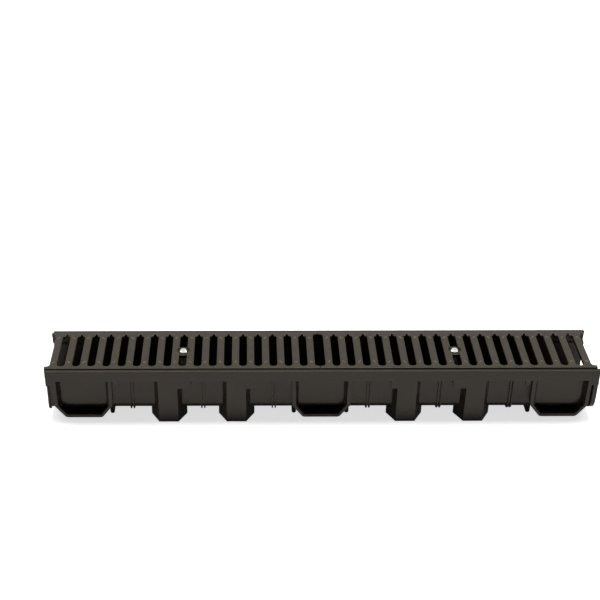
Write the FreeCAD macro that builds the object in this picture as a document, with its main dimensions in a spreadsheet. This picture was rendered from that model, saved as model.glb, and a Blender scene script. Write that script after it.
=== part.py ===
"""Channel drain: a moulded plastic trough one metre long, with two slotted half-metre grates bolted in.

Frame: millimetres, +Z up. The origin is midway along the trough, on its centre line, at the level its
feet stand on. X runs along the drain, from the plain end (-X) to the end with the socket collar (+X).
"""
import FreeCAD, Part
import Sketcher
import math
import os
import re

# Driving sizes in millimetres, and counts, as (name, value, what it is).
SIZES = [
    # Trough, and the band that stiffens its rim
    ("body_length", 1000, "length of the trough moulding"),
    ("body_width", 135, "outer width over the rim"),
    ("rim_height", 112, "from the feet to the top of the rim"),
    ("rim_wall", 7, "thickness of the rim, and of the tabs that hang from it"),
    ("rim_round", 0.8, "radius along the rim's edges"),
    ("band_height", 21.8, "depth of the flat band below the rim"),
    ("seat_thick", 3, "thickness of the shelf the grates sit on"),
    ("wall_inset", 13, "from the rim's outer face in to the trough's outer face"),
    ("wall_thick", 2.5, "thickness of the trough's wall and floor"),
    ("ground_gap", 18.6, "from the ground to the underside of the trough"),
    ("trough_round", 15, "outer radius of the trough's lower corners"),
    # Hollow feet, tapered in plan
    ("foot_face", 35.3, "width of a foot's outer face"),
    ("foot_back", 66, "width of a foot at its back"),
    ("foot_depth", 26.5, "from the rim's outer face in to a foot's back"),
    ("foot_wall", 3, "wall of a foot"),
    ("foot_near", 155, "from the middle to the inner feet"),
    ("foot_far", 279.6, "from the middle to the outer feet"),
    ("tab_height", 16.2, "drop of the tab beside each foot"),
    ("tab_near", 12, "width of the tab beside an inner foot"),
    ("tab_far", 24, "width of the tab beside an outer foot"),
    # Cradles: open frames that run across under the trough
    ("cradle_count", 3, "cradles along the drain"),
    ("cradle_pitch", 434.5, "spacing of the cradles"),
    ("cradle_width", 107.6, "width of a cradle at the band"),
    ("cradle_draft", 1, "how much each side of a cradle leans in towards the bottom"),
    ("cradle_wall", 6.4, "thickness of a cradle's sides"),
    ("cradle_floor", 6, "thickness of a cradle's floor"),
    ("cradle_lift", 10.4, "from the ground to the underside of a cradle"),
    ("bevel_run", 19.5, "length of a cradle's bevelled corner along X"),
    ("bevel_rise", 25.5, "height of a cradle's bevelled corner"),
    ("cradle_round", 8, "radius along the outer edges of that bevel"),
    ("cheek_slope", 6.3, "how much a cradle's sides thicken back to the trough"),
    ("post_wall", 8, "thickness of the posts that stand beside the cradles"),
    ("post_round", 3.6, "radius of a post's lower edges"),
    ("ear_slit", 3.5, "gap between a cradle and the ear beside it"),
    ("ear_width", 9, "width of an ear"),
    ("ear_height", 9.7, "drop of an ear below the band"),
    # Thin ribs that wrap round the trough, and its two ends
    ("rib_thick", 2, "thickness of a wrap-round rib"),
    ("rib_pair", 5.4, "spacing of the two ribs of a pair"),
    ("rib_proud", 4, "how far a rib stands out of the trough"),
    ("rib_first", 86.4, "from the middle to the first pair of ribs"),
    ("rib_pitch", 130, "spacing of the pairs of ribs"),
    ("rib_pairs", 3, "pairs of ribs on each half of the drain"),
    ("end_rib", 3, "thickness of the rib at the plain end"),
    ("collar_thick", 7.5, "length of the socket collar"),
    ("collar_inset", 1, "from the rim's outer face in to the collar's"),
    ("collar_round", 34, "radius of the collar's lower corners"),
    # Grates
    ("grate_gap", 1, "clearance between a grate and the rim, each side"),
    ("grate_joint", 1, "gap between the two grates"),
    ("grate_shift", 3, "how far the pair of grates sits towards the plain end"),
    ("grate_length", 498.5, "length of a grate"),
    ("grate_proud", 2.6, "how far a grate's face stands above the rim"),
    ("grate_round", 0.8, "radius along a grate's top edges"),
    ("plate_thick", 5.5, "thickness of a grate's plate"),
    ("skirt_wall", 5, "thickness of a grate's side skirts"),
    ("slot_count", 17, "slots in a grate, an odd number so that one is at its middle"),
    ("slot_width", 14.2, "width of a slot"),
    ("slot_margin", 29.25, "from a grate's end to its first slot's centre line"),
    ("rail_width", 7.7, "from a grate's side to the ends of its slots"),
    ("notch_depth", 8.9, "depth of the half slot at a grate's ends"),
    ("notch_round", 6.5, "corner radius of that half slot"),
    ("bar_rib", 4, "thickness of the rib under each bar between slots"),
    ("rib_lift", 4, "from the seat up to the underside of those ribs"),
    # Fixing: cup, bolt, locking bar and nut
    ("cup_width", 22.8, "diameter of the recess round the bolt's head"),
    ("cup_step", 4, "depth at which the recess narrows"),
    ("cup_bore", 20, "diameter of the recess below that step"),
    ("cup_depth", 6, "depth of the recess, where the bolt's head sits"),
    ("cup_floor", 4, "thickness of the floor under the bolt's head"),
    ("boss_width", 27, "outer diameter of the boss round the recess"),
    ("bolt_width", 6, "diameter of the bolt"),
    ("bolt_length", 40, "length of the bolt under its head"),
    ("bolt_chamfer", 0.8, "chamfer at the bolt's tip"),
    ("hole_play", 0.6, "how much wider the bolt's holes are than the bolt"),
    ("head_width", 13.8, "diameter of the bolt's head"),
    ("head_height", 4.8, "height of the bolt's head"),
    ("head_bevel", 1.6, "bevel round the top of the head"),
    ("socket_flats", 4, "hexagon socket in the head, across flats"),
    ("socket_depth", 2.4, "depth of that socket"),
    ("lock_width", 20, "width of a locking bar"),
    ("lock_height", 8, "height of a locking bar"),
    ("lock_play", 1, "gap between a locking bar's ends and the trough's walls"),
    ("lock_round", 8, "corner radius of a locking bar, which lets it turn into place"),
    ("lug_drop", 9.2, "from the grates' seat down to the top of the lugs"),
    ("lug_height", 6, "height of a lug"),
    ("lug_reach", 5, "how far a lug stands out of the trough's wall"),
    ("lug_length", 30, "length of a lug"),
    ("nut_flats", 10, "hexagon nut, across flats"),
    ("nut_height", 5, "height of the nut"),
    ("nut_play", 0.2, "how much wider the nut's pocket is than the nut"),
    ("thread_play", 0.1, "how much wider the nut's bore is than the bolt"),
]
ALIASES = {name for name, _number, _note in SIZES}

# Places worked out from the driving sizes, as expressions.
BODY_END = "body_length/2"
RIM_OUTER = "body_width/2"
RIM_INNER = "(body_width/2 - rim_wall)"
UNDER_BAND = "(rim_height - band_height)"
SEAT = f"({UNDER_BAND} + seat_thick)"
OUTER_WALL = "(body_width/2 - wall_inset)"
INNER_WALL = f"({OUTER_WALL} - wall_thick)"
FOOT_LINE = "(body_width/2 - foot_depth)"
FOOT_LEAN = "((foot_back - foot_face)/2/foot_depth)"
CRADLE_LOW = "(cradle_width/2 - cradle_draft)"
BEVEL_TOP = "(cradle_lift + bevel_rise)"
RIB_SIDE = f"({OUTER_WALL} + rib_proud)"
RIB_UNDER = "(ground_gap - rib_proud)"
GRATE_TOP = "(rim_height + grate_proud)"
GRATE_SIDE = f"({RIM_INNER} - grate_gap)"
SKIRT_INNER = f"({GRATE_SIDE} - skirt_wall)"
PLATE_UNDER = f"({GRATE_TOP} - plate_thick)"
SLOT_END = f"({GRATE_SIDE} - rail_width)"
SLOT_PITCH = "((grate_length - 2*slot_margin)/(slot_count - 1))"
FIRST_BAR = f"(slot_margin - {SLOT_PITCH}/2 - grate_length/2)"
HEAD_SEAT = f"({GRATE_TOP} - cup_depth)"
LOCK_TOP = f"({SEAT} - lug_drop - lug_height)"
LOCK_UNDER = f"({LOCK_TOP} - lock_height)"
HALVES = {"left": "(-(grate_length + grate_joint)/2 - grate_shift)",
          "right": "((grate_length + grate_joint)/2 - grate_shift)"}

doc = FreeCAD.newDocument("channel_drain")
sheet = doc.addObject("Spreadsheet::Sheet", "Sizes")
for row, (name, number, note) in enumerate(SIZES, start=1):
    sheet.set(f"A{row}", name)
    sheet.set(f"B{row}", str(number))
    sheet.set(f"C{row}", note)
    sheet.setAlias(f"B{row}", name)
doc.recompute()


def cells(expression):
    """The expression with each size's name pointed at its cell in the sheet."""
    return re.sub("[a-z_]+", lambda word: "Sizes."*(word.group() in ALIASES) + word.group(), expression)


def value(expression):
    """What an expression of sizes comes to now, as a plain number."""
    return float(sheet.evalExpression(cells(expression)))


# ------------------------------------------------------------------------------------ sketches

def origin_part(body, role):
    """The body's own origin plane or axis of that role."""
    return next(part for part in body.Origin.OriginFeatures if part.Role == role)


def new_sketch(body, plane, name, offset="0"):
    """A sketch on one of the body's origin planes, moved along that plane's normal by offset."""
    sketch = body.newObject("Sketcher::SketchObject", f"{name}_sketch")
    sketch.AttachmentSupport = [(origin_part(body, plane), "")]
    sketch.MapMode = "FlatFace"
    sketch.setExpression("AttachmentOffset.Base.z", cells(offset))
    return sketch


def bind(sketch, kind, expression, *where):
    """A dimension of the sketch tied to an expression of sizes."""
    index = sketch.addConstraint(Sketcher.Constraint(kind, *where, value(expression)))
    sketch.setExpression(f"Constraints[{index}]", cells(expression))


def bind_point(sketch, geometry, end, x, y):
    """Ties one point of a piece of geometry to its place from the sketch's origin."""
    bind(sketch, "DistanceX", x, -1, 1, geometry, end)
    bind(sketch, "DistanceY", y, -1, 1, geometry, end)


def tangent(sketch, first, first_end, second, second_end):
    sketch.addConstraint(Sketcher.Constraint("Tangent", first, first_end, second, second_end))


def add_outline(sketch, corners):
    """A closed outline. Each corner is (x, y) or (x, y, radius), all as expressions of sizes."""
    points = [FreeCAD.Vector(value(corner[0]), value(corner[1])) for corner in corners]
    count = len(corners)
    stops, starts, arcs = [], [], {}
    for i, (corner, point) in enumerate(zip(corners, points)):
        back = (points[i - 1] - point).normalize()
        ahead = (points[(i + 1) % count] - point).normalize()
        radius = value(corner[2]) if len(corner) > 2 else 0
        half_angle = back.getAngle(ahead)/2
        stops.append(point + back*(radius/math.tan(half_angle)))
        starts.append(point + ahead*(radius/math.tan(half_angle)))
        if radius:
            middle = point + (back + ahead).normalize()*(radius/math.sin(half_angle) - radius)
            turns_left = ahead.cross(back).z > 0
            ends = (stops[i], starts[i]) if turns_left else (starts[i], stops[i])
            arcs[i] = (sketch.addGeometry(Part.Arc(ends[0], middle, ends[1])), turns_left)
    lines = [sketch.addGeometry(Part.LineSegment(starts[i], stops[(i + 1) % count]))
             for i in range(count)]
    for i, corner in enumerate(corners):
        line_in, line_out = lines[i - 1], lines[i]
        if i not in arcs:
            sketch.addConstraint(Sketcher.Constraint("Coincident", line_in, 2, line_out, 1))
            bind_point(sketch, line_out, 1, corner[0], corner[1])
            continue
        arc, turns_left = arcs[i]
        tip = sketch.addGeometry(Part.Point(points[i]), True)
        bind_point(sketch, tip, 1, corner[0], corner[1])
        for line in (line_in, line_out):
            sketch.addConstraint(Sketcher.Constraint("PointOnObject", tip, 1, line))
        tangent(sketch, line_in, 2, arc, 1 if turns_left else 2)
        tangent(sketch, line_out, 1, arc, 2 if turns_left else 1)
        bind(sketch, "Radius", corner[2], arc)


def add_box(sketch, x_low, x_high, y_low, y_high):
    add_outline(sketch, [(x_low, y_low), (x_high, y_low), (x_high, y_high), (x_low, y_high)])


def add_front_and_back(sketch, corners):
    """An outline on the drain's near side, and its mirror image on the far side."""
    for sign in ("-", ""):
        add_outline(sketch, [(x, f"{sign}{y}") for x, y in corners])


def add_box_pair(sketch, x_low, x_high, y_low, y_high):
    """A rectangle on the drain's near side, and its mirror image on the far side."""
    add_front_and_back(sketch, [(x_low, y_low), (x_high, y_low), (x_high, y_high), (x_low, y_high)])


def add_slot(sketch, x, end, width):
    """A slot across the drain at x, as far as end on both sides, with fully rounded ends."""
    centre, radius = f"({end} - {width}/2)", value(f"{width}/2")
    arcs = []
    for sign, start_angle in ((1, 0), (-1, math.pi)):
        circle = Part.Circle(FreeCAD.Vector(value(x), sign*value(centre)), FreeCAD.Vector(0, 0, 1), radius)
        arcs.append(sketch.addGeometry(Part.ArcOfCircle(circle, start_angle, start_angle + math.pi)))
    far, near = arcs
    for this, other in ((near, far), (far, near)):
        start = sketch.Geometry[this].EndPoint
        line = sketch.addGeometry(Part.LineSegment(start, sketch.Geometry[other].StartPoint))
        tangent(sketch, line, 1, this, 2)
        tangent(sketch, line, 2, other, 1)
    sketch.addConstraint(Sketcher.Constraint("Equal", far, near))
    bind_point(sketch, far, 3, x, centre)
    bind_point(sketch, near, 3, x, f"-{centre}")
    bind(sketch, "Diameter", width, far)


def add_circle(sketch, diameter):
    """A circle on the sketch's origin."""
    radius = value(diameter)/2
    circle = sketch.addGeometry(Part.Circle(FreeCAD.Vector(), FreeCAD.Vector(0, 0, 1), radius))
    sketch.addConstraint(Sketcher.Constraint("Coincident", circle, 3, -1, 1))
    bind(sketch, "Diameter", diameter, circle)


def add_hexagon(sketch, flats):
    """A hexagon on the sketch's origin, with two of its flats facing along X."""
    side, tip = f"{flats}/2", f"{flats}/sqrt(3)"
    add_outline(sketch, [(side, f"-{tip}/2"), (side, f"{tip}/2"), ("0", tip),
                         (f"-{side}", f"{tip}/2"), (f"-{side}", f"-{tip}/2"), ("0", f"-{tip}")])


# ------------------------------------------------------------------------------------ features

def new_body(label):
    body = doc.addObject("PartDesign::Body", label)
    body.Label = label
    return body


def add_feature(body, kind, sketch, length, symmetric=False, up=False):
    """A pad or pocket of the sketch. A pocket runs against the sketch's normal unless it goes up."""
    feature = body.newObject(f"PartDesign::{kind}", sketch.Name.replace("_sketch", ""))
    feature.Profile = sketch
    if length == "through":
        feature.Type = "ThroughAll"
    else:
        feature.setExpression("Length", cells(length))
    if symmetric:
        feature.SideType = "Symmetric"
    feature.Reversed = up
    sketch.Visibility = False
    doc.recompute()
    return feature


def repeat(body, name, originals, spacing, count):
    """A row of copies of the originals along X."""
    pattern = body.newObject("PartDesign::LinearPattern", name)
    pattern.Originals = originals
    pattern.Direction = (origin_part(body, "X_Axis"), [""])
    pattern.Mode = "Spacing"
    pattern.setExpression("Offset", cells(spacing))
    pattern.setExpression("Occurrences", cells(count))
    body.Tip = pattern
    doc.recompute()
    return pattern


def place(body, half):
    """Puts a body that is built on its own centre line at the middle of one half of the drain."""
    body.setExpression("Placement.Base.x", cells(HALVES[half]))
    doc.recompute()


# ------------------------------------------------------------------------------------ the trough

def trough_profile(side, under, radius, top):
    """A U across the drain, square at the top and rounded at its lower corners."""
    return [(f"-{side}", top), (f"-{side}", under, radius), (side, under, radius), (side, top)]


def trough_collar(side, radius):
    """A U that wraps round the trough from the band down, from the middle of its wall out to side."""
    middle = trough_profile(f"({OUTER_WALL} - wall_thick/2)", "(ground_gap + wall_thick/2)",
                            "(trough_round - wall_thick/2)", UNDER_BAND)
    return trough_profile(side, RIB_UNDER, radius, UNDER_BAND) + middle[::-1]


def add_cradles(body):
    """Open frames across the full width, from the middle one outwards."""
    ring = new_sketch(body, "XZ_Plane", "cradle_ring")
    bevel_in = f"({CRADLE_LOW} - cradle_wall - bevel_run*(bevel_rise - cradle_floor)/bevel_rise)"
    half = [(bevel_in, "cradle_lift + cradle_floor"), (f"({CRADLE_LOW} - cradle_wall)", BEVEL_TOP),
            ("(cradle_width/2 - cradle_wall)", UNDER_BAND), ("cradle_width/2", UNDER_BAND),
            (CRADLE_LOW, BEVEL_TOP, "cradle_round"),
            (f"({CRADLE_LOW} - bevel_run)", "cradle_lift", "cradle_round")]
    add_outline(ring, half + [(f"-{x}", *rest) for x, *rest in reversed(half)])
    frame = add_feature(body, "Pad", ring, "body_width", symmetric=True)

    cheeks = new_sketch(body, "XY_Plane", "cradle_cheeks", BEVEL_TOP)
    inner = "cradle_width/2 - cradle_wall"
    for sign in ("-", ""):
        add_front_and_back(cheeks, [(f"{sign}({inner})", RIM_OUTER), (f"{sign}({inner}/2)", RIM_OUTER),
                                    (f"{sign}({inner}/2)", OUTER_WALL),
                                    (f"{sign}({inner} - cheek_slope)", OUTER_WALL)])
    wedges = add_feature(body, "Pad", cheeks, f"{UNDER_BAND} - {BEVEL_TOP}")
    repeat(body, "cradles", [frame, wedges], "cradle_pitch", "(cradle_count + 1)/2")


def add_posts(body):
    """Posts under the trough, on the sides of the cradles that face along the drain's middle run."""
    posts = new_sketch(body, "XZ_Plane", "posts")
    top = "ground_gap + wall_thick"
    for left in (f"{CRADLE_LOW} - post_wall", f"cradle_pitch - {CRADLE_LOW}"):
        right = f"{left} + post_wall"
        add_outline(posts, [(left, "0", "post_round"), (right, "0", "post_round"), (right, top), (left, top)])
    add_feature(body, "Pad", posts, f"2*{FOOT_LINE}", symmetric=True)


def add_feet(body):
    """Hollow feet, open underneath, front and back, on the +X half of the drain."""
    feet = new_sketch(body, "XY_Plane", "feet")
    slant_wall = f"foot_wall*sqrt(1 + {FOOT_LEAN}^2)"
    outside = [("-foot_face/2", RIM_OUTER), ("foot_face/2", RIM_OUTER),
               ("foot_back/2", FOOT_LINE), ("-foot_back/2", FOOT_LINE)]
    front = f"(foot_face/2 + foot_wall*{FOOT_LEAN} - {slant_wall})"
    back = f"(foot_back/2 - foot_wall*{FOOT_LEAN} - {slant_wall})"
    inside = [(f"-{front}", f"({RIM_OUTER} - foot_wall)"), (front, f"({RIM_OUTER} - foot_wall)"),
              (back, f"({FOOT_LINE} + foot_wall)"), (f"-{back}", f"({FOOT_LINE} + foot_wall)")]
    for centre in ("foot_near", "foot_far"):
        for corners in (outside, inside):
            add_front_and_back(feet, [(f"{centre} + {x}", y) for x, y in corners])
    add_feature(body, "Pad", feet, UNDER_BAND)


def add_hanging_tabs(body):
    """Tabs and ears that hang from the band, flush with it, on the +X half of the drain."""
    tabs = new_sketch(body, "XY_Plane", "tabs", f"{UNDER_BAND} - tab_height")
    for foot, width in (("foot_near", "tab_near"), ("foot_far", "tab_far")):
        edge = f"{foot} - foot_face/2"
        add_box_pair(tabs, f"{edge} - {width}", f"{edge} + foot_wall", RIM_INNER, RIM_OUTER)
    ears = new_sketch(body, "XY_Plane", "ears", f"{UNDER_BAND} - ear_height")
    edge, far_edge = "cradle_width/2 + ear_slit", "cradle_pitch - cradle_width/2 - ear_slit"
    add_box_pair(ears, edge, f"{edge} + ear_width", RIM_INNER, RIM_OUTER)
    add_box_pair(ears, f"{far_edge} - ear_width", far_edge, RIM_INNER, RIM_OUTER)
    add_box_pair(ears, "cradle_pitch + cradle_width/2 - cradle_wall/2", BODY_END, RIM_INNER, RIM_OUTER)
    add_feature(body, "Pad", tabs, "tab_height")
    add_feature(body, "Pad", ears, "ear_height")


def add_wrap_ribs(body, number):
    """One pair of thin ribs round the trough, on the +X half of the drain."""
    for name, sign in (("a", "-"), ("b", "+")):
        start = f"rib_first + {number}*rib_pitch {sign} rib_pair/2 - rib_thick/2"
        sketch = new_sketch(body, "YZ_Plane", f"rib_{number}{name}", start)
        add_outline(sketch, trough_collar(RIB_SIDE, "(trough_round + rib_proud)"))
        add_feature(body, "Pad", sketch, "rib_thick")


def add_ends(body):
    """The thin rib at the plain end and the socket collar at the other."""
    rib = new_sketch(body, "YZ_Plane", "end_rib_plate", f"-{BODY_END}")
    add_outline(rib, trough_collar(RIB_SIDE, "(trough_round + rib_proud)"))
    add_feature(body, "Pad", rib, "end_rib")
    collar = new_sketch(body, "YZ_Plane", "collar", f"{BODY_END} - collar_thick")
    add_outline(collar, trough_collar(f"({RIM_OUTER} - collar_inset)", "collar_round"))
    add_feature(body, "Pad", collar, "collar_thick")


def add_inside(body):
    """The waterway and the rebate for the grates, cut along the drain."""
    cut = new_sketch(body, "YZ_Plane", "inside", BODY_END)
    floor, radius = "(ground_gap + wall_thick)", "(trough_round - wall_thick)"
    waterway = trough_profile(INNER_WALL, floor, radius, SEAT)
    add_outline(cut, [(f"-{RIM_INNER}", GRATE_TOP), (f"-{RIM_INNER}", SEAT), *waterway,
                      (RIM_INNER, SEAT), (RIM_INNER, GRATE_TOP)])
    add_feature(body, "Pocket", cut, "through")


def add_lugs(body):
    """The lugs on the inner walls that the locking bars are pulled up against."""
    lugs = new_sketch(body, "XY_Plane", "lugs", LOCK_TOP)
    for centre in HALVES.values():
        add_box_pair(lugs, f"{centre} - lug_length/2", f"{centre} + lug_length/2",
                     f"({INNER_WALL} - lug_reach)", f"({INNER_WALL} + wall_thick/2)")
    add_feature(body, "Pad", lugs, "lug_height")


def build_channel_body():
    """The trough moulding. One half is built, hollowed and mirrored, and then both ends are added."""
    body = new_body("channel_body")
    outer = new_sketch(body, "YZ_Plane", "outer")
    rim = [(RIM_OUTER, UNDER_BAND), (RIM_OUTER, "rim_height", "rim_round")]
    wall = trough_profile(OUTER_WALL, "ground_gap", "trough_round", UNDER_BAND)
    add_outline(outer, [(f"-{y}", *rest) for y, *rest in reversed(rim)] + wall + rim)
    add_feature(body, "Pad", outer, BODY_END)
    add_cradles(body)
    add_posts(body)
    add_feet(body)
    add_hanging_tabs(body)
    for number in range(int(value("rib_pairs"))):
        add_wrap_ribs(body, number)
    add_inside(body)
    mirror = body.newObject("PartDesign::Mirrored", "other_half")
    mirror.TransformMode = "Whole shape"
    mirror.MirrorPlane = (origin_part(body, "YZ_Plane"), [""])
    body.Tip = mirror
    doc.recompute()
    add_ends(body)
    add_lugs(body)
    return body


# ------------------------------------------------------------------------------------ the grates

def add_cup(body):
    """The boss at the middle slot, stepped recess for the bolt's head and hole for its shank."""
    boss = new_sketch(body, "XY_Plane", "boss", f"{HEAD_SEAT} - cup_floor")
    add_circle(boss, "boss_width")
    add_feature(body, "Pad", boss, "cup_floor + cup_depth - cup_step")
    for name, width, depth in (("recess", "cup_width", "cup_step"), ("cup", "cup_bore", "cup_depth"),
                               ("bolt_hole", "bolt_width + hole_play", "through")):
        sketch = new_sketch(body, "XY_Plane", name, GRATE_TOP)
        add_circle(sketch, width)
        add_feature(body, "Pocket", sketch, depth)


def build_grate(half):
    """One half-metre grate: a slotted plate on side skirts, with a rib under each bar."""
    body = new_body(f"grate_{half}")
    profile = new_sketch(body, "YZ_Plane", "profile", "-grate_length/2")
    right = [(SKIRT_INNER, PLATE_UNDER), (SKIRT_INNER, SEAT), (GRATE_SIDE, SEAT),
             (GRATE_SIDE, GRATE_TOP, "grate_round")]
    add_outline(profile, right + [(f"-{y}", *rest) for y, *rest in reversed(right)])
    add_feature(body, "Pad", profile, "grate_length")

    slot = new_sketch(body, "XY_Plane", "slot", GRATE_TOP)
    add_slot(slot, "(slot_margin - grate_length/2)", SLOT_END, "slot_width")
    first_slot = add_feature(body, "Pocket", slot, "through")
    repeat(body, "slots", [first_slot], SLOT_PITCH, "slot_count")

    notch = new_sketch(body, "XY_Plane", "notches", GRATE_TOP)
    for sign in ("-", ""):
        end, deep = f"{sign}(grate_length/2)", f"{sign}(grate_length/2 - notch_depth)"
        add_outline(notch, [(end, f"-{SLOT_END}"), (deep, f"-{SLOT_END}", "notch_round"),
                            (deep, SLOT_END, "notch_round"), (end, SLOT_END)])
    add_feature(body, "Pocket", notch, "through")

    rib = new_sketch(body, "XY_Plane", "bar_rib_plate", f"{SEAT} + rib_lift")
    add_box(rib, f"{FIRST_BAR} - bar_rib/2", f"{FIRST_BAR} + bar_rib/2",
            f"-({SKIRT_INNER} + skirt_wall/2)", f"{SKIRT_INNER} + skirt_wall/2")
    first_rib = add_feature(body, "Pad", rib, f"{PLATE_UNDER} - {SEAT} - rib_lift")
    repeat(body, "bar_ribs", [first_rib], SLOT_PITCH, "slot_count + 1")
    add_cup(body)
    place(body, half)
    return body


# ------------------------------------------------------------------------------------ the fixings

def build_bolt(half):
    """The bolt that holds a grate down: bevelled round head with a hexagon socket."""
    body = new_body(f"bolt_{half}")
    profile = new_sketch(body, "XZ_Plane", "turned")
    tip, head_top = f"({HEAD_SEAT} - bolt_length)", f"({HEAD_SEAT} + head_height)"
    add_outline(profile, [("0", tip), ("bolt_width/2 - bolt_chamfer", tip),
                          ("bolt_width/2", f"{tip} + bolt_chamfer"), ("bolt_width/2", HEAD_SEAT),
                          ("head_width/2", HEAD_SEAT), ("head_width/2", f"{head_top} - head_bevel"),
                          ("head_width/2 - head_bevel", head_top), ("0", head_top)])
    turned = body.newObject("PartDesign::Revolution", "turned")
    turned.Profile = profile
    turned.ReferenceAxis = (origin_part(body, "Z_Axis"), [""])
    profile.Visibility = False
    doc.recompute()
    socket = new_sketch(body, "XY_Plane", "socket", head_top)
    add_hexagon(socket, "socket_flats")
    add_feature(body, "Pocket", socket, "socket_depth")
    place(body, half)
    return body


def build_locking_bar(half):
    """The bar under the trough's lugs that the bolt pulls up against them, with a seat for the nut."""
    body = new_body(f"locking_bar_{half}")
    outline = new_sketch(body, "XY_Plane", "bar", LOCK_UNDER)
    end = f"({INNER_WALL} - lock_play)"
    add_outline(outline, [(f"{x_sign}lock_width/2", f"{y_sign}{end}", "lock_round")
                          for x_sign, y_sign in (("-", "-"), ("", "-"), ("", ""), ("-", ""))])
    add_feature(body, "Pad", outline, "lock_height")
    hole = new_sketch(body, "XY_Plane", "bolt_hole", LOCK_TOP)
    add_circle(hole, "bolt_width + hole_play")
    add_feature(body, "Pocket", hole, "through")
    pocket = new_sketch(body, "XY_Plane", "nut_pocket", LOCK_UNDER)
    add_hexagon(pocket, "(nut_flats + nut_play)")
    add_feature(body, "Pocket", pocket, "nut_height", up=True)
    place(body, half)
    return body


def build_nut(half):
    body = new_body(f"lock_nut_{half}")
    outline = new_sketch(body, "XY_Plane", "nut", LOCK_UNDER)
    add_hexagon(outline, "nut_flats")
    add_feature(body, "Pad", outline, "nut_height")
    bore = new_sketch(body, "XY_Plane", "bore", f"{LOCK_UNDER} + nut_height")
    add_circle(bore, "bolt_width + thread_play")
    add_feature(body, "Pocket", bore, "through")
    place(body, half)
    return body


bodies = [build_channel_body()]
for half in HALVES:
    bodies += [build_grate(half), build_bolt(half), build_locking_bar(half), build_nut(half)]
doc.recompute()

for item in doc.Objects:
    if {"Invalid", "Error"} & set(item.State):
        raise RuntimeError(f"{item.Label} did not compute: {item.State}")
for body in bodies:
    if body.Shape.isNull() or not body.Shape.isValid() or len(body.Shape.Solids) != 1:
        raise RuntimeError(f"{body.Label} is not one valid solid")

os.makedirs("parts", exist_ok=True)
for body in bodies:
    body.Shape.exportStep(f"parts/{body.Label}.step")
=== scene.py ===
# %% [markdown]
# # Channel drain
# A one-metre plastic surface drain: a U-shaped trough with a flat band round its rim, moulded feet
# and cradles below, and two slotted grates bolted into the rim. This lesson keeps those and adds
# what a mould and a studio add: rounded edges, fine ridges, grain and light.

# %% Load the frame
import math

import bmesh
import bpy
import numpy as np
from mathutils import Matrix, Vector


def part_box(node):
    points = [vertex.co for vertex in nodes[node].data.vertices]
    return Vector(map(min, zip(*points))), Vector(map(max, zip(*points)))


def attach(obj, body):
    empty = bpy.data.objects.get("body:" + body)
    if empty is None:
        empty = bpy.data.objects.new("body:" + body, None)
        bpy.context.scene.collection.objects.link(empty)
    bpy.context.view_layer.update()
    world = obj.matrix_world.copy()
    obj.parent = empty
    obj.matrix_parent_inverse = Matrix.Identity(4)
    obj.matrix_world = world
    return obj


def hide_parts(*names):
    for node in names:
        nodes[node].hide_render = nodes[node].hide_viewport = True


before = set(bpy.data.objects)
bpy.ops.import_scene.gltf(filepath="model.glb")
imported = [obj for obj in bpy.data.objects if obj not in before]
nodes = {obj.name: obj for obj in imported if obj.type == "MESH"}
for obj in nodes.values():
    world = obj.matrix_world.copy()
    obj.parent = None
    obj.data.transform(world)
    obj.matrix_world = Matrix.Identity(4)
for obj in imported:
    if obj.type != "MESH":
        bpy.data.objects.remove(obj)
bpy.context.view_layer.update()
MM = 0.001
print("parts", sorted(nodes))

# %% [markdown]
# ## Finishes
# A material is a tree of nodes, joined socket to socket. It could be put together by hand in the
# shader editor, but written down it comes out the same each time. These helpers keep such a tree
# short to write: node adds one and sets it by name, and join links an output to an input.

# %% Node helpers
def node_makers(owner):
    """Empties the node tree of a material or world, and gives short ways to add a node and to join
    two sockets."""
    owner.use_nodes = True
    tree = owner.node_tree
    tree.nodes.clear()

    def node(kind, **inputs):
        """A new node. Each setting goes to the input of that name, or else to the node itself."""
        made = tree.nodes.new(f"ShaderNode{kind}")
        for key, setting in inputs.items():
            if key in made.inputs:
                made.inputs[key].default_value = setting
            else:
                setattr(made, key, setting)
        return made

    return node, lambda source, target: tree.links.new(source, target)


def new_material(name):
    """An empty material, with its two makers."""
    material = bpy.data.materials.new(name)
    return material, *node_makers(material)

# %% [markdown]
# Plastic and steel are never quite even. The unevenness could be painted, but a painted texture has
# to be laid out on the surface and shows its seams. Noise on Object coordinates, which count metres
# from the piece's own origin, runs through the whole piece without any.

# %% Noise
NOISE_ROUGHNESS, FINE_DETAIL = 0.6, 3.0


def add_noise(node, join, scale, detail):
    """Noise on the piece's own Object coordinates: detail octaves, the coarsest scale cycles a metre."""
    noise = node("TexNoise", Scale=scale, Detail=detail, Roughness=NOISE_ROUGHNESS)
    join(node("TexCoord").outputs["Object"], noise.inputs["Vector"])
    return noise.outputs["Fac"]


def noise_between(node, join, scale, low, high):
    """Fine noise, spread evenly so that 0 becomes low and 1 becomes high."""
    spread = node("MapRange")
    spread.inputs["To Min"].default_value, spread.inputs["To Max"].default_value = low, high
    join(add_noise(node, join, scale, FINE_DETAIL), spread.inputs["Value"])
    return spread.outputs["Result"]

# %% [markdown]
# The trough and the grates are black polypropylene with recycled stock in it. The colour drifts a
# little from patch to patch, some places are duller than others, and the spark-eroded mould leaves
# a fine grain. One Principled shader shows all three: one noise picks a colour between two near
# shades, a second moves the roughness, and a third raises a grain too small to be worth geometry.
# The highlight on this plastic is slightly warm, so it has a tint.

# %% Moulded plastic
PLASTIC_IOR, WARM_SHINE = 1.46, (1.0, 0.915, 0.80, 1)
DRIFT_STOPS, DRIFT_DETAIL = (0.32, 0.68), 5.0
WEAR_SCALE, WEAR_SWING = 60.0, 0.07
GRAIN_SCALE, GRAIN_STRENGTH = 800.0, 0.6


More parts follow.
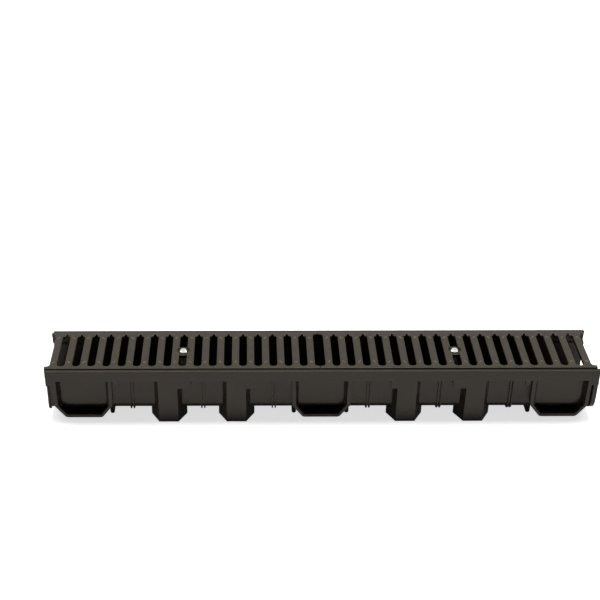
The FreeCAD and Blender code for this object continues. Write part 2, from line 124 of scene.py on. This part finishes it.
def moulded_plastic(name, dark, light, patches, roughness, grain):
    """Plastic drifting between two colours, so many patches a metre. The roughness swings to either
    side of the one given by WEAR_SWING, and the bump grain is that many metres deep."""
    material, node, join = new_material(name)
    shader = node("BsdfPrincipled", IOR=PLASTIC_IOR)
    shader.inputs["Specular Tint"].default_value = WARM_SHINE
    join(shader.outputs[0], node("OutputMaterial").inputs[0])
    ramp = node("ValToRGB")
    for stop, place, colour in zip(ramp.color_ramp.elements, DRIFT_STOPS, (dark, light)):
        stop.position, stop.color = place, (*colour, 1)
    join(add_noise(node, join, patches, DRIFT_DETAIL), ramp.inputs["Fac"])
    join(ramp.outputs["Color"], shader.inputs["Base Color"])
    join(noise_between(node, join, WEAR_SCALE, roughness - WEAR_SWING, roughness + WEAR_SWING),
         shader.inputs["Roughness"])
    bump = node("Bump", Strength=GRAIN_STRENGTH, Distance=grain)
    join(add_noise(node, join, GRAIN_SCALE, FINE_DETAIL), bump.inputs["Height"])
    join(bump.outputs["Normal"], shader.inputs["Normal"])
    return material

# %% [markdown]
# The drain needs three mixes of that plastic. The trough's is nearly black and even. The grates' is
# a shade warmer, paler and coarser. The grip ridges' mix is far paler than the plate's: a painted
# highlight for the light their crests catch. Only numbers differ, so each mix is one call.

# %% Three plastics
trough_plastic = moulded_plastic("trough_plastic", (0.0085, 0.0058, 0.0032), (0.0115, 0.0080, 0.0050),
                                 patches=30.0, roughness=0.30, grain=0.00005)
grate_plastic = moulded_plastic("grate_plastic", (0.0150, 0.0115, 0.0048), (0.0280, 0.0220, 0.0105),
                                patches=120.0, roughness=0.38, grain=0.00012)
# The ridges' mix is pale as a painted highlight for the light their crests catch.
highlit_ridge_plastic = moulded_plastic("highlit_ridge_plastic", (0.0900, 0.0740, 0.0440), (0.1600, 0.1340, 0.0860),
                                  patches=150.0, roughness=0.30, grain=0.00008)
print("plastics", [plastic.name for plastic in (trough_plastic, grate_plastic, highlit_ridge_plastic)])

# %% [markdown]
# The bolts and nuts are bright steel, turned and then tumbled in a drum. On a bare metal all that
# is seen is reflection, so the shader is fully metallic, the base colour is the reflection's, and
# only the roughness varies.

# %% Bright steel
STEEL_COLOUR, TUMBLED_SCALE, TUMBLED_ROUGHNESS = (0.90, 0.89, 0.87, 1), 700.0, (0.16, 0.34)
bright_steel, node, join = new_material("bright_steel")
steel = node("BsdfPrincipled", Metallic=1.0)
steel.inputs["Base Color"].default_value = STEEL_COLOUR
join(noise_between(node, join, TUMBLED_SCALE, *TUMBLED_ROUGHNESS), steel.inputs["Roughness"])
join(steel.outputs[0], node("OutputMaterial").inputs[0])
print("steel roughness", TUMBLED_ROUGHNESS)

# %% [markdown]
# A mesh carries a list of materials, and its faces use the first unless told otherwise. Each piece
# of the drain has one finish all over, so painting it means emptying that list and adding one.

# %% Paint
def paint(piece, material):
    """Gives the whole piece that one material."""
    piece.data.materials.clear()
    piece.data.materials.append(material)

# %% [markdown]
# ## Surfaces from grids
# A moulded surface could be modelled by hand, vertex by vertex. It is easier to state as a grid:
# rows go across the surface, columns go along it, and each point comes from a formula that works on
# the whole array at once. The faces are then always the same: one quad between neighbouring rows
# and columns.

# %% Faces of a grid
def grid_faces(rows, columns, first=0, loop=False):
    """Corner numbers of the quads between neighbouring rows and columns, counted from first. Point
    (row, column) has the number row*columns + column. A loop joins its last column to its first."""
    row = np.arange(rows - 1)[:, None]
    column = np.arange(columns if loop else columns - 1)[None, :]
    after = (column + 1) % columns
    quads = np.stack(np.broadcast_arrays(row*columns + column, row*columns + after,
                                         (row + 1)*columns + after, (row + 1)*columns + column), axis=-1)
    return quads.reshape(-1, 4) + first

# %% [markdown]
# A grate is dozens of such grids, and a real moulding is one closed skin. Where two grids meet,
# their edge points fall on the same place and are merged. Flat ends left open are capped, and the
# faces are turned to point outwards, because a renderer and a slicer both rely on that.

# %% One mesh from grids
MERGE = 0.00001


def finished(work, mesh, note):
    """Turns the faces outwards, puts the work back into the mesh and says how it came out."""
    bmesh.ops.recalc_face_normals(work, faces=work.faces)
    left = sum(not edge.is_manifold for edge in work.edges)
    work.to_mesh(mesh)
    work.free()
    print(f"{note}, {len(mesh.polygons)} faces, {left} edges left open")
    return mesh


def mesh_from_grids(name, grids):
    """One mesh from (points, loop) pairs, where points is rows by columns by 3 in metres."""
    points, faces, first = [], [], 0
    for grid, loop in grids:
        rows, columns = grid.shape[:2]
        points.append(grid.reshape(-1, 3))
        faces.append(grid_faces(rows, columns, first, loop))
        first += rows*columns
    mesh = bpy.data.meshes.new(name)
    mesh.from_pydata(np.concatenate(points).tolist(), [], np.concatenate(faces).tolist())
    work = bmesh.new()
    work.from_mesh(mesh)
    bmesh.ops.remove_doubles(work, verts=work.verts, dist=MERGE)
    bmesh.ops.dissolve_degenerate(work, edges=work.edges, dist=MERGE)
    open_edges = [edge for edge in work.edges if edge.is_boundary]
    if open_edges:
        bmesh.ops.holes_fill(work, edges=open_edges, sides=0)
    return finished(work, mesh, f"{name}: {len(open_edges)} edges capped")

# %% [markdown]
# A mesh shows once an object carries it. Round surfaces should shade smoothly while corners stay
# crisp, so every face is smooth, and edges that turn by more than an angle are marked sharp. The
# piece then rides on the drain's one body, and the CAD parts it stands for, if any, are hidden.

# %% A piece of the drain
def new_piece(name, mesh, material, slot, *stands_for, smooth_angle=35):
    """Puts a mesh in the scene as a piece of the drain, smooth except where it turns sharply."""
    piece = bpy.data.objects.new(name, mesh)
    bpy.context.scene.collection.objects.link(piece)
    paint(piece, material)
    mesh.shade_smooth()
    mesh.set_sharp_from_angle(angle=math.radians(smooth_angle))
    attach(piece, "root")
    if stands_for:
        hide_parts(*stands_for)
    return piece

# %% [markdown]
# ## The grates
# Each grate is a plate with 17 slots, standing on two side skirts. The CAD part has the right slots
# with crisp edges. The moulded one has a rounded lip round each, a groove and two sloped shelves at
# its far end, and fine ridges on the bars. The whole skin is drawn anew inside the CAD part's box,
# which gives its outer sizes. The plate's face lies a ridge's height below the top of that box, so
# that the ridges end level with it. Sizes are in millimetres.

# %% Grate sizes
grate_low, grate_high = (np.array(corner)/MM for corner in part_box("grate_left"))
SEAT, GRATE_SIDE, GRATE_TOP = grate_low[2], grate_high[1], grate_high[2]
GRATE_LENGTH = grate_high[0] - grate_low[0]
PLATE_THICK, SKIRT_THICK, RIDGE_HEIGHT = 5.5, 5.0, 0.6
PLATE_UNDER, SKIRT_INNER = GRATE_TOP - PLATE_THICK, GRATE_SIDE - SKIRT_THICK
FACE = GRATE_TOP - RIDGE_HEIGHT
print(f"grate {GRATE_LENGTH:.1f} mm long, face at {FACE:.1f} mm")

# %% [markdown]
# The slots stand on one pitch. It follows from the grate's length, the margin at its ends and the
# number of slots, so nothing drifts if the grate is made longer. Bars lie midway between slots, with
# one more outside the first and the last.

# %% Slots and bars
SLOT_COUNT, SLOT_MARGIN, SLOT_HALF, SLOT_TO_SIDE = 17, 29.25, 7.1, 7.7
PITCH = (GRATE_LENGTH - 2*SLOT_MARGIN)/(SLOT_COUNT - 1)
END_DEPTH = SLOT_MARGIN - PITCH/2
SLOT_END = GRATE_SIDE - SLOT_TO_SIDE
STRAIGHT = SLOT_END - SLOT_HALF
slot_centres = (np.arange(SLOT_COUNT) - SLOT_COUNT//2)*PITCH
bar_centres = (np.arange(SLOT_COUNT + 1) - SLOT_COUNT/2)*PITCH
print(f"a slot every {PITCH:.2f} mm, {len(bar_centres)} bars")


def grate_middle(half):
    """Where along X the middle of the left or right grate lies."""
    low, high = (np.array(corner)/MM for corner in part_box(f"grate_{half}"))
    return (low[0] + high[0])/2

# %% [markdown]
# One slot and the plate round it make a cell, and cells side by side share their borders. A cell is
# a grid whose columns run once round the slot. They stand closer where the outline bends, which is
# round the ends and along the bolt's cup. Every cell has the same number of them, whether it has
# a cup or not, so neighbours meet point for point.

# %% Columns
CUP_HALF, CUP_COLUMNS, SIDE_COLUMNS = 11.4, 17, 9
RISE, ACROSS = 6, 24
bite = math.acos(SLOT_HALF/CUP_HALF)
cup_y = CUP_HALF*np.sin(np.linspace(-bite, bite, CUP_COLUMNS))
side_y = np.concatenate([np.linspace(-STRAIGHT, cup_y[0], SIDE_COLUMNS)[:-1], cup_y,
                         np.linspace(cup_y[-1], STRAIGHT, SIDE_COLUMNS)[1:]])
end_turn = np.linspace(0, math.pi, 2*RISE + ACROSS + 2)[1:-1]
print(f"{2*(len(side_y) + len(end_turn))} columns round a slot")


def pairs(x, y):
    """An array of (x, y) rows from two lists, either of which may be one number."""
    return np.stack(np.broadcast_arrays(np.asarray(x, float), np.asarray(y, float)), axis=-1)


def all_round(side, end):
    """Half an outline, then the same half turned through 180 degrees."""
    return np.concatenate([side, end, -side, -end])

# %% [markdown]
# The slot itself is a stadium. In the middle of each grate it opens into a round cup for the bolt.
# A Boolean could cut the cup, but it leaves long thin triangles in a flat face. Here the columns
# along the side move out to the cup's circle instead, so the quads stay tidy. Each column also
# keeps the direction that points out of the slot, which the lip needs later. The cell's border is
# a rectangle with one point for each of the slot's columns.

# %% Outlines of a cell
CUP_SLACK = 0.001


def slot_outline(with_cup):
    """The slot's outline and its outward direction at each column.
    A stadium, two straight sides joined by half circles; a cup widens it to the cup's own circle."""
    round_part = (np.abs(side_y) <= cup_y[-1] + CUP_SLACK) & with_cup
    reach = np.where(round_part, np.sqrt(np.maximum(CUP_HALF**2 - side_y**2, 0)), SLOT_HALF)
    side = pairs(reach, side_y)
    facing = np.where(round_part[:, None], side/CUP_HALF, pairs(1, 0*side_y))
    swing = pairs(np.cos(end_turn), np.sin(end_turn))
    return all_round(side, swing*SLOT_HALF + [0, STRAIGHT]), all_round(facing, swing)


def cell_border(reach):
    """The cell's border: half a pitch to either side of the slot, and out to y = +-reach at its ends."""
    up = pairs(PITCH/2, np.linspace(STRAIGHT, reach, RISE + 1)[1:])
    over = pairs(np.linspace(PITCH/2, -PITCH/2, ACROSS + 2)[1:-1], reach)
    return all_round(pairs(PITCH/2, side_y), np.concatenate([up, over, up[::-1]*[-1, 1]]))

# %% [markdown]
# The mould's core leaves a groove in the wall at each end of a slot, which stops just under the lip.
# At the far end two small shelves slope down to either side of that groove, so the slot seems to
# end in a dark point between light flanks. Both are changes to the outline: the groove moves the
# wall back along y, and the shelves move the lip in and lower it.

# %% Slot ends
GROOVE_HALF, GROOVE_DEPTH = 2.6, 2.2
SLOPE_IN, SLOPE_OUT, SLOPE_FALL, SLOPE_BLEND = 2.2, 0.6, 0.5, (0.3, 2.0)


def groove_shift(outline):
    """How far the wall steps back along y: the groove's depth in the middle of a slot's end, nothing
    elsewhere."""
    in_groove = (np.abs(outline[:, 0]) < GROOVE_HALF) & (np.abs(outline[:, 1]) > STRAIGHT)
    return pairs(0, np.where(in_groove, GROOVE_DEPTH*np.sign(outline[:, 1]), 0))


def end_slopes(outline, facing):
    """The outline moved in at a slot's +Y end, to either side of the groove, and the width of slope
    this leaves. The slope grows evenly from nothing over SLOPE_BLEND, across and along the slot."""
    x, y = outline.T
    across = np.clip((np.abs(x) - GROOVE_HALF)/SLOPE_BLEND[0], 0, 1)
    onward = np.clip((y - STRAIGHT)/SLOPE_BLEND[1], 0, 1)
    rise = (across*onward)[:, None]
    return outline - facing*SLOPE_IN*rise, (SLOPE_IN + SLOPE_OUT)*rise

# %% [markdown]
# The rows of a cell go from its border in across the flat, down the slope, over the rounded lip,
# down the wall and back out underneath. A Bevel modifier could round the lip of the CAD part, but it
# would round every sharp edge by the same amount. Drawn as rows, the lip has its own roundness and
# nothing else changes.

# %% From outline to skin
LIP, LIP_TURNS, LIP_DROP = 1.0, 6, 0.05
EDGE, FLARE, FLAT_RING = 0.9, 0.25, 0.4


def skin(outline, facing, top_border, low_border, slope=0.0, step_back=0.0):
    """Rows of the skin round an opening: border, flat, slope, quarter-round lip, wall and underside.
    The lip is a quarter circle: it moves in by LIP*(1 - sin) while it drops by LIP*(1 - cos).
    Outside it the slope falls steadily, at the columns where its width isn't nought."""
    drop = np.ravel(slope)*SLOPE_FALL
    rows = [(top_border, FACE), (outline + facing*(LIP + slope + FLAT_RING), FACE),
            (outline + facing*(LIP + slope), FACE)]
    rows += [(outline + facing*LIP*(1 - math.sin(turn)), FACE - drop - LIP*(1 - math.cos(turn)))
             for turn in np.linspace(0, math.pi/2, LIP_TURNS)]
    rows += [(outline + step_back, FACE - drop - LIP - LIP_DROP),
             (outline + step_back + facing*FLARE, PLATE_UNDER), (low_border, PLATE_UNDER)]
    return np.stack([np.concatenate([flat, np.broadcast_to(z, len(flat))[:, None]], axis=1)
                     for flat, z in rows])


def slot_cell(centre, with_cup=False):
    """The skin of one slot and the plate round it, the slot's middle at x = centre."""
    outline, facing = slot_outline(with_cup)
    step_back = groove_shift(outline)
    outline, slope = end_slopes(outline, facing)
    cell = skin(outline, facing, cell_border(GRATE_SIDE - EDGE), cell_border(SKIRT_INNER), slope, step_back)
    return cell + [centre, 0, 0]

# %% [markdown]
# At either end of a grate the plate is notched, so that two grates leave one more opening between
# them. The end cell is the same kind of skin on an open outline: in along one finger, round the
# notch, and out along the other. The flat cut ends of its fingers are capped when the mesh is made.

# %% End cells
NOTCH_DEPTH, NOTCH_ROUND, FINGER = 8.9, 6.5, 10
finger_steps = np.linspace(0, END_DEPTH, FINGER + 1)[:-1]


def end_cell(end):
    """The notched end piece, for the end at x = end; its inner border is the first or last slot's.
    The notch is a rectangle NOTCH_DEPTH deep, its corners quarter circles of NOTCH_ROUND."""
    inward = -math.copysign(1, end)
    turn = np.linspace(-math.pi/2, 0, FINGER + RISE - 2)
    corner = pairs(np.cos(turn), np.sin(turn))
    finger_x = NOTCH_DEPTH - NOTCH_ROUND
    lower = np.concatenate([pairs([0, finger_x/2], -SLOT_END),
                            corner*NOTCH_ROUND + [finger_x, NOTCH_ROUND - SLOT_END]])
    lower_facing = np.concatenate([pairs([0, 0], -1), corner])
    across_y = np.linspace(NOTCH_ROUND - SLOT_END, SLOT_END - NOTCH_ROUND, len(side_y) + 2)[1:-1]
    outline = np.concatenate([lower, pairs(NOTCH_DEPTH, across_y), lower[::-1]*[1, -1]])
    facing = np.concatenate([lower_facing, pairs(1, 0*across_y), lower_facing[::-1]*[1, -1]])

    def border(reach):
        """Out along one finger's side at y = -reach, along the neighbour cell, and back along the other."""
        out = pairs(finger_steps, -reach)
        up = pairs(END_DEPTH, -np.linspace(STRAIGHT, reach, RISE + 1)[:0:-1])
        first = np.concatenate([out, up])
        return np.concatenate([first, pairs(END_DEPTH, side_y), first[::-1]*[1, -1]])

    cell = skin(outline, facing, border(GRATE_SIDE - EDGE), border(SKIRT_INNER))
    return cell*[inward, 1, 1] + [end, 0, 0]

# %% [markdown]
# The grate stands on a skirt along each side. A skirt has the same section all along, so it is one
# profile carried down the length: over the rounded top edge, down the outside, across the foot and
# up inside. It stops at every column of the plate's border, so the two merge without a gap.

# %% Side skirts
EDGE_TURNS, FOOT_BEVEL = 6, 0.4


def skirt_strip(side):
    """The rounded top edge, outer face, foot and inner face of the skirt on one side, over the grate's
    length. The top edge is a quarter circle of radius EDGE."""
    half = GRATE_LENGTH/2
    cells = np.add.outer(slot_centres, np.linspace(-PITCH/2, PITCH/2, ACROSS + 2)[:-1]).ravel()
    along = np.concatenate([finger_steps - half, cells, [half - END_DEPTH], half - finger_steps])
    along = np.unique(np.round(along, 6))
    turn = np.linspace(0, math.pi/2, EDGE_TURNS)
    profile = np.concatenate([pairs(GRATE_SIDE - EDGE*(1 - np.sin(turn)), FACE - EDGE*(1 - np.cos(turn))),
                              [[GRATE_SIDE, SEAT + FOOT_BEVEL], [GRATE_SIDE - FOOT_BEVEL, SEAT],
                               [SKIRT_INNER, SEAT], [SKIRT_INNER, PLATE_UNDER]]])
    y, z = profile.T[:, :, None]
    return np.stack(np.broadcast_arrays(along[None, :], side*y, z), axis=-1)

# %% [markdown]
# Under the plate a rib stiffens each bar. It is a closed solid of its own, which sinks a little into
# the plate and the skirts, as it fuses with them in the mould. A cube with a modifier would do as
# well, but as a grid it joins the grate's one mesh.

# %% A rib under a bar
RIB_HALF, RIB_BEVEL, RIB_LIFT, SINK = 2.0, 0.5, 4.0, 1.0


def rib(x):
    """A box as a grid of five rings from pole to pole, its lower edges cut back by the bevel."""
    x0, y0, z0 = x - RIB_HALF, -SKIRT_INNER - SINK, SEAT + RIB_LIFT
    x1, y1, z1 = x + RIB_HALF, SKIRT_INNER + SINK, PLATE_UNDER + SINK

    def ring(inset, z):
        """The four corners at height z, both long sides moved in by inset."""
        return [(x0 + inset, y0, z), (x1 - inset, y0, z), (x1 - inset, y1, z), (x0 + inset, y1, z)]

    middle = ((x0 + x1)/2, (y0 + y1)/2)
    return np.array([[(*middle, z0)]*4, ring(RIB_BEVEL, z0), ring(0, z0 + RIB_BEVEL), ring(0, z1),
                     [(*middle, z1)]*4])

# %% [markdown]
# At the middle slot a round boss carries the bolt's head in a stepped cup. Anything turned is
# a profile spun round an axis. Blender's Spin tool does that too, but it can turn a shape inside
# out, so here the profile is multiplied by the cosine and sine of each step round.

# %% The bolt's boss
CUP_BORE, BOSS_HALF, HOLE_HALF, BOSS_STEPS = 10.0, 13.5, 3.3, 64
HEAD_DEPTH, BOSS_BELOW, BOSS_ABOVE, BOSS_BEVEL = 6.0, 4.0, 2.0, 0.4


def turned(profile, steps):
    """A profile of (radius, height) rows carried round the Z axis."""
    turn = np.arange(steps)*2*math.pi/steps
    radius, height = np.array(profile, float).T[:, :, None]
    return np.stack(np.broadcast_arrays(radius*np.cos(turn), radius*np.sin(turn), height), axis=-1)


head_seat = GRATE_TOP - HEAD_DEPTH
foot, rim = head_seat - BOSS_BELOW, head_seat + BOSS_ABOVE
boss_profile = [(HOLE_HALF, foot), (BOSS_HALF - BOSS_BEVEL, foot), (BOSS_HALF, foot + BOSS_BEVEL),
                (BOSS_HALF, rim), (CUP_BORE + BOSS_BEVEL, rim), (CUP_BORE, rim - BOSS_BEVEL),
                (CUP_BORE, head_seat), (HOLE_HALF, head_seat), (HOLE_HALF, foot)]
print(f"bolt head rests at {head_seat:.1f} mm, in a cup {2*CUP_BORE:.0f} mm wide")

# %% [markdown]
# Now both grates can be put together, each from 17 slot cells, two end cells, two skirts, 18 ribs
# and a boss. They are drawn round x = 0 and moved to the middle of their own CAD part, because the
# piece's object has to stay at the origin.

# %% Both grates
for half in ("left", "right"):
    grids = [(slot_cell(centre, centre == 0), True) for centre in slot_centres]
    grids += [(end_cell(end), False) for end in (-GRATE_LENGTH/2, GRATE_LENGTH/2)]
    grids += [(skirt_strip(side), False) for side in (-1, 1)]
    grids += [(rib(x), True) for x in bar_centres]
    grids += [(turned(boss_profile, BOSS_STEPS), True)]
    middle = grate_middle(half)
    mesh = mesh_from_grids(f"grate_skin_{half}", [((grid + [middle, 0, 0])*MM, loop) for grid, loop in grids])
    new_piece(f"grate_skin_{half}", mesh, grate_plastic, "grate_plastic", f"grate_{half}")

# %% [markdown]
# On every bar, near both ends, the mould leaves a short slanting ridge for grip. It could be a bump
# in the material, but it stands proud enough to catch light on its side, so it is geometry. Each
# ridge is a small closed mound whose rings get smaller as they rise.

# %% One grip ridge
RIDGE_LENGTH, RIDGE_WIDTH, RIDGE_COLUMNS = 8.0, 2.2, 14
RING_SIZES = np.array([1.0, 1.0, 0.62, 0.28, 0.0])[:, None]
RING_HEIGHTS = np.array([-0.4, 0.0, 0.75, 1.0, 1.0])[:, None]


def ridge(x, y, lean):
    """One ridge, centred at (x, y) on the plate and turned by the lean.
    A ring is two half circles of that ring's radius, set apart by the ridge's straight length. The
    first ring lies below the face and is closed by a point in its middle. The last has no radius, so
    it falls together into the crest's line."""
    turn = (np.arange(RIDGE_COLUMNS) + 0.5)*2*math.pi/RIDGE_COLUMNS
    radius, height = RIDGE_WIDTH/2*RING_SIZES, RIDGE_HEIGHT*RING_HEIGHTS
    long_way = np.sign(np.cos(turn))*(RIDGE_LENGTH - RIDGE_WIDTH)/2 + np.cos(turn)*radius
    short_way = np.sin(turn)*radius
    c, s = math.cos(lean), math.sin(lean)
    shape = np.stack([x + c*long_way - s*short_way, y + s*long_way + c*short_way, FACE + height + 0*turn],
                     axis=-1)
    under = np.broadcast_to([x, y, FACE + height[0, 0]], shape[:1].shape)
    return np.concatenate([under, shape])

# %% [markdown]
# Ridges lean one way on one bar and the other way on the next. One Array modifier can't alternate
# like that, so the ridges are listed bar by bar. They get their own piece, because they are coloured
# paler than the plate, a painted highlight for the light their crests catch.

# %% All the ridges
RIDGE_LEAN, RIDGE_FROM_MIDDLE = math.radians(49.0), 39.5
for half in ("left", "right"):
    ridges = [ridge(x, side*RIDGE_FROM_MIDDLE, RIDGE_LEAN*(-1)**number)
              for number, x in enumerate(bar_centres + grate_middle(half)) for side in (-1, 1)]
    mesh = mesh_from_grids(f"grip_ridges_{half}", [(grid*MM, True) for grid in ridges])
    # The ridges take the pale mix, a painted highlight.
    new_piece(f"grip_ridges_{half}", mesh, highlit_ridge_plastic, "grate_plastic", smooth_angle=60)

# %% [markdown]
# ## The trough
# The trough's whole form is in the CAD part already. Its mesh is loose triangles, though, which a
# modifier can't follow, so a copy has its doubled points joined and its flat triangles merged back
# into whole faces.

# %% A merged copy
FLAT_ANGLE = math.radians(0.5)


def merged_copy(name):
    """A copy of a part's mesh, its doubled points joined and its flat triangles merged."""
    mesh = nodes[name].data.copy()
    work = bmesh.new()
    work.from_mesh(mesh)
    bmesh.ops.remove_doubles(work, verts=work.verts, dist=MERGE)
    bmesh.ops.dissolve_limit(work, angle_limit=FLAT_ANGLE, verts=work.verts, edges=work.edges)
    return finished(work, mesh, f"{name} copied")

# %% [markdown]
# No mould has perfectly sharp edges, and it is their small radius that draws a thin light line along
# each edge of a dark part. The Bevel modifier rounds every edge that turns by more than an angle.
# Hardened normals keep the flat faces flat, so that only the new strips catch the light.

# %% Bevelled trough
MOULD_RADIUS, BEVEL_SEGMENTS, BEVEL_ANGLE = 0.5*MM, 2, math.radians(35)
trough = new_piece("trough_moulding", merged_copy("channel_body"), trough_plastic, "body_plastic",
                   "channel_body", smooth_angle=25)
bevel = trough.modifiers.new("mould_radius", "BEVEL")
bevel.width, bevel.segments = MOULD_RADIUS, BEVEL_SEGMENTS
bevel.limit_method, bevel.angle_limit = "ANGLE", BEVEL_ANGLE
bevel.harden_normals = True
print(f"{trough.name}: edges rounded to {bevel.width/MM:.1f} mm")

# %% [markdown]
# The other parts stay as the CAD made them: bolts, nuts and the bars that lock the grates down.
# They are small or hidden, so a finish is all they need. Parts with a stand-in are painted too, in
# case a reader takes the stand-in away.

# %% Plain parts
for name, piece in nodes.items():
    paint(piece, bright_steel if name.startswith(("bolt", "lock_nut")) else
          grate_plastic if name.startswith("grate") else trough_plastic)
print("painted", len(nodes), "parts")

# %% [markdown]
# ## The room
# The drain stands on plain pale paper under a white sky. Glossy black plastic is a mirror for both,
# and at full strength they would wash out its dark undersides. Raising or lowering the lights can't
# help, because it changes the paper as well. So the paper and the sky glow by different amounts for
# different rays: white for the camera and for clear things, weaker for reflections, and least for
# the light that bounces about, which leaves the drain's shadow on the paper.

# %% Light that depends on who looks
def strength_by_ray(node, join, fill, seen, shine):
    """A strength of fill for light that bounces about. The camera and clear things get seen more,
    and reflections get shine more: each share is multiplied by its ray's 0 or 1, and all are added."""
    path = node("LightPath")
    total = fill
    for ray, part in (("Is Camera Ray", seen), ("Is Transmission Ray", seen), ("Is Glossy Ray", shine)):
        step = node("Math", operation="MULTIPLY_ADD")
        step.inputs[1].default_value = part
        join(path.outputs[ray], step.inputs[0])
        if isinstance(total, float):
            step.inputs[2].default_value = total
        else:
            join(total, step.inputs[2])
        total = step.outputs[0]
    return total

# %% [markdown]
# The paper is one large square a hair below the feet, so that the two don't flicker. It is matt, and
# its glow is added to the light it reflects. Where the drain shades it, it keeps only the glow, and
# that difference is the shadow.

# %% Paper
PAPER, PAPER_SEEN, PAPER_SHINE = 0.90, 0.68, 0.03
FAR, FLOOR_Z = 20, -0.0002
floor_mesh = bpy.data.meshes.new("floor")
corners = [(-FAR, -FAR, FLOOR_Z), (FAR, -FAR, FLOOR_Z), (FAR, FAR, FLOOR_Z), (-FAR, FAR, FLOOR_Z)]
floor_mesh.from_pydata(corners, [], [(0, 1, 2, 3)])
floor = bpy.data.objects.new("floor", floor_mesh)
bpy.context.scene.collection.objects.link(floor)
floor_paper, node, join = new_material("floor_paper")
glow, paper, both = node("Emission"), node("BsdfDiffuse"), node("AddShader")
paper.inputs["Color"].default_value = (PAPER, PAPER, PAPER, 1)
join(strength_by_ray(node, join, 0.0, PAPER_SEEN, PAPER_SHINE), glow.inputs["Strength"])
join(paper.outputs[0], both.inputs[0])
join(glow.outputs[0], both.inputs[1])
join(both.outputs[0], node("OutputMaterial").inputs[0])
paint(floor, floor_paper)
print(f"paper {2*FAR} m square")

# %% [markdown]
# The sky stands for the walls and ceiling of a white studio. It could be a modelled dome, but
# nothing in it needs to be recognised, so one Background node does. It gives very little light of
# its own, and leaves it to the lamps to bring out the shapes.

# %% Sky
SKY_FILL, SKY_SEEN, SKY_SHINE = 0.04, 0.96, 0.74
world = bpy.data.worlds.new("studio")
bpy.context.scene.world = world
node, join = node_makers(world)
sky = node("Background", Color=(1, 1, 1, 1))
join(strength_by_ray(node, join, SKY_FILL, SKY_SEEN, SKY_SHINE), sky.inputs["Strength"])
join(sky.outputs[0], node("OutputWorld").inputs[0])
print("sky strength for the camera", SKY_FILL + SKY_SEEN)

# %% [markdown]
# Flat black parts show their shape by the broad reflection of a soft box, not by shadows. One long
# box hangs overhead and a little behind, along the drain, so that the grates' tops catch it and the
# walls stay dark. A small one high up at either side keeps the ends from going black.

# %% Soft boxes
def softbox(name, place, width, depth, watts):
    """A rectangular lamp at that place, aimed at the origin."""
    lamp = bpy.data.lights.new(name, "AREA")
    lamp.shape, lamp.size, lamp.size_y, lamp.energy = "RECTANGLE", width, depth, watts
    box = bpy.data.objects.new(name, lamp)
    bpy.context.scene.collection.objects.link(box)
    box.location = place
    box.rotation_euler = (-Vector(place)).to_track_quat("-Z", "Y").to_euler()
    print(f"{name}: {width} by {depth} m, {watts} W")


softbox("overhead", (0, 0.35, 2.6), width=2.6, depth=0.9, watts=75)
softbox("left", (-2.2, 0.6, 2.0), width=1.0, depth=1.0, watts=16)
softbox("right", (2.2, 0.6, 2.0), width=1.0, depth=1.0, watts=16)

# %% [markdown]
# The camera stands in front, a little to the left, and looks down on the drain, so that the grates,
# the near wall and the feet all show. A long lens from some way off keeps the drain's metre from
# fanning out. Turning the camera to frame the drain would set its long edges at a slant, so the
# frame is shifted sideways on the lens instead.

# %% Camera
CAMERA_PLACE, LOOK_DOWN, ROLL = (-0.1335, -1.8574, 1.3731), math.radians(31.8), -0.0024
LENS_MM, SENSOR_MM, SHIFT_X = 73.06, 36.0, 0.08666667
lens = bpy.data.cameras.new("camera")
lens.lens, lens.sensor_width, lens.shift_x = LENS_MM, SENSOR_MM, SHIFT_X
lens.clip_start, lens.clip_end = 0.05, 50
camera = bpy.data.objects.new("camera", lens)
bpy.context.scene.collection.objects.link(camera)
camera.matrix_world = (Matrix.Translation(CAMERA_PLACE) @ Matrix.Rotation(math.pi/2 - LOOK_DOWN, 4, "X")
                       @ Matrix.Rotation(ROLL, 4, "Z"))
bpy.context.scene.camera = camera
bpy.context.scene.view_settings.view_transform = "Standard"
print(f"camera {Vector(CAMERA_PLACE).length:.2f} m away")
